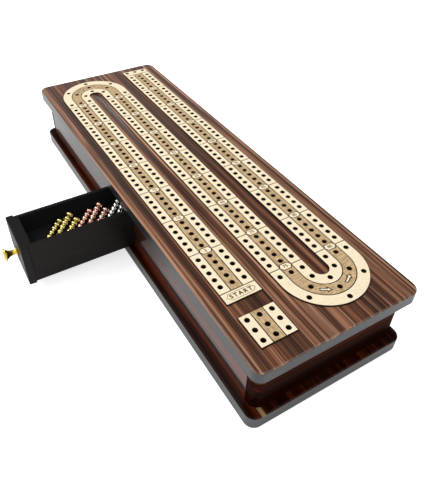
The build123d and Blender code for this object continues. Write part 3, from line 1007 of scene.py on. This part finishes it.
def make_finishes(shades):
    """Every material, by the name that the pieces use."""
    tint = {name: tuple(getattr(shades, name)) for name in BoxColours.__annotations__}
    deck = [tint["rosewood_dark"], tint["rosewood_mid"], tint["rosewood_light"]]
    # Dark, middle and light bands of the side walls, the end walls and the base. All are cut from
    # the core colour. That colour is the walls' own red-brown wood, darkened as painted shade under
    # the deck's overhang, and the end walls and the base are darkened most.
    wall, end, base = [[scaled(tint["rosewood_core"], share) for share in shares] for shares in (
        (0.22, 0.8, 1.9), (0.15, 0.5, 0.9), (0.12, 0.5, 1.1))]
    deck_streaks = [("X", place, half, deck[2]) for place, half in PALE_STREAKS]
    deck_streaks += [("X", place, half, deck[0]) for place, half in DARK_STREAKS]
    # Painted light and shade on the end walls: brown streaks just under the deck make the top
    # lighter, and a broad dark band paints shade low down on the wall.
    end_painted_light_and_shade = [("Z", 43.0, 1.6, tint["end_streak"]), ("Z", 36.5, 1.2, tint["end_streak"]),
                   ("Z", 18.0, 10.0, base[0])]
    return {
        "deck": rosewood("lacquered_rosewood_deck", "Y", deck, (3, 0, 11), 0.8, deck_streaks),
        "base": rosewood("lacquered_rosewood_base", "Y", base, (47, 0, 5), 0.1,
                         [("X", -50.5, 1.2, tint["sapwood"])]),
        "side_wall": rosewood("lacquered_rosewood_side", "Y", wall, (21, 0, 60), 0.75),
        # End walls: lacquer that barely shines, carrying the painted light and shade of the streaks
        # above.
        "end_wall": rosewood("lacquered_rosewood_end", "X", end, (0, 31, 17), 0.03, end_painted_light_and_shade),
        # Edges dyed dark and sprayed with the same gloss lacquer: faint pores 0.5 mm wide.
        "edge": mottled("dyed_lacquered_edge", tint["edge"], ("Y", 12),
                        {"Scale": 1.6, "Detail": 3.0}, ((0.35, 0.75), (0.65, 1.15)),
                        Roughness=0.4, Coat_Weight=0.38, Coat_Roughness=0.05),
        "maple": pale_wood("sealed_maple", "Y", tint["maple"], 0.08, 0.5),
        "maple_turn": pale_wood("sealed_maple_wide", "X", tint["maple"], 0.08, 0.5, (9, 0, 0)),
        "oak": pale_wood("sealed_oak", "Y", tint["oak"], 0.42, 1.1),
        "oak_turn": pale_wood("sealed_oak_wide", "X", tint["oak"], 0.42, 1.1, (0, 7, 0)),
        "beech": pale_wood("plain_beech", "X", tint["beech"], 0.2, 0.6),
        "engraving": pale_wood("engraved_maple", "Y", tint["engraving"], 0.3, 1.0),
        # Wood charred by laser cutting: nearly black, dull, patchy over half a millimetre.
        "scorch": mottled("scorched_wood", tint["scorch"], ("Z", 1),
                          {"Scale": 1.2, "Detail": 2.0}, ((0.35, 0.6), (0.7, 1.8)),
                          Roughness=0.8, Specular_IOR_Level=0.2),
        # Plywood boards sprayed satin black: a soft sheen, with faint grain showing through.
        "lacquer": mottled("satin_black_lacquer", tint["lacquer"], ("X", 25),
                           {"Scale": 1.3, "Detail": 3.0}, ((0.35, 0.7), (0.65, 1.6)),
                           (0.15, 0.1), Roughness=0.42, Specular_IOR_Level=0.17),
        # Pressed felt glued to the tray: matt black, a short nap and a mottle of about 1 mm.
        "cloth": mottled("black_felt", tint["cloth"], ("Z", 1),
                         {"Scale": 1.1, "Detail": 4.0, "Roughness": 0.7},
                         ((0.35, 0.5), (0.7, 2.2)), (0.6, 0.2), Roughness=0.95,
                         Sheen_Weight=0.15, Sheen_Roughness=0.5, Specular_IOR_Level=0.1),
        "brass": turned_metal("polished_brass", tint["brass"], 0.12),
        "gold": turned_metal("gold_lacquered_brass", tint["gold"]),
        "copper": turned_metal("polished_copper", tint["copper"]),
        "silver": turned_metal("polished_nickel", tint["nickel"]),
        "zinc": turned_metal("zinc_steel", tint["zinc"], 0.3),
    }


GROUPS = {"track_sizes": TrackSizes, "peg_sizes": PegSizes, "box_colours": BoxColours}
OPERATORS = (BOX_OT_stage, BOX_OT_body, BOX_OT_leg_strips, BOX_OT_turn_strips, BOX_OT_plaques,
             BOX_OT_plates, BOX_OT_drawer, BOX_OT_knob, BOX_OT_pegs)


class BOX_PT_panel(bpy.types.Panel):
    """Lists the sizes, the colours and the pieces"""
    bl_label = "Cribbage box"
    bl_idname = "BOX_PT_panel"
    bl_space_type = "VIEW_3D"
    bl_region_type = "UI"
    bl_category = "Cribbage box"

    def draw(self, context):
        for pointer, group in GROUPS.items():
            for name in group.__annotations__:
                self.layout.prop(getattr(context.scene, pointer), name)
        for operator in OPERATORS:
            self.layout.operator(operator.bl_idname)


def register():
    for item in (*GROUPS.values(), *OPERATORS, BOX_PT_panel):
        bpy.utils.register_class(item)
    for pointer, group in GROUPS.items():
        setattr(bpy.types.Scene, pointer, bpy.props.PointerProperty(type=group))


def unregister():
    for pointer in GROUPS:
        delattr(bpy.types.Scene, pointer)
    for item in (BOX_PT_panel, *reversed(OPERATORS), *reversed(GROUPS.values())):
        bpy.utils.unregister_class(item)


def main():
    register()
    FINISHES.update(make_finishes(bpy.context.scene.box_colours))
    for operator in OPERATORS:
        group, name = operator.bl_idname.split(".")
        getattr(getattr(bpy.ops, group), name)()


if __name__ == "__main__":
    main()
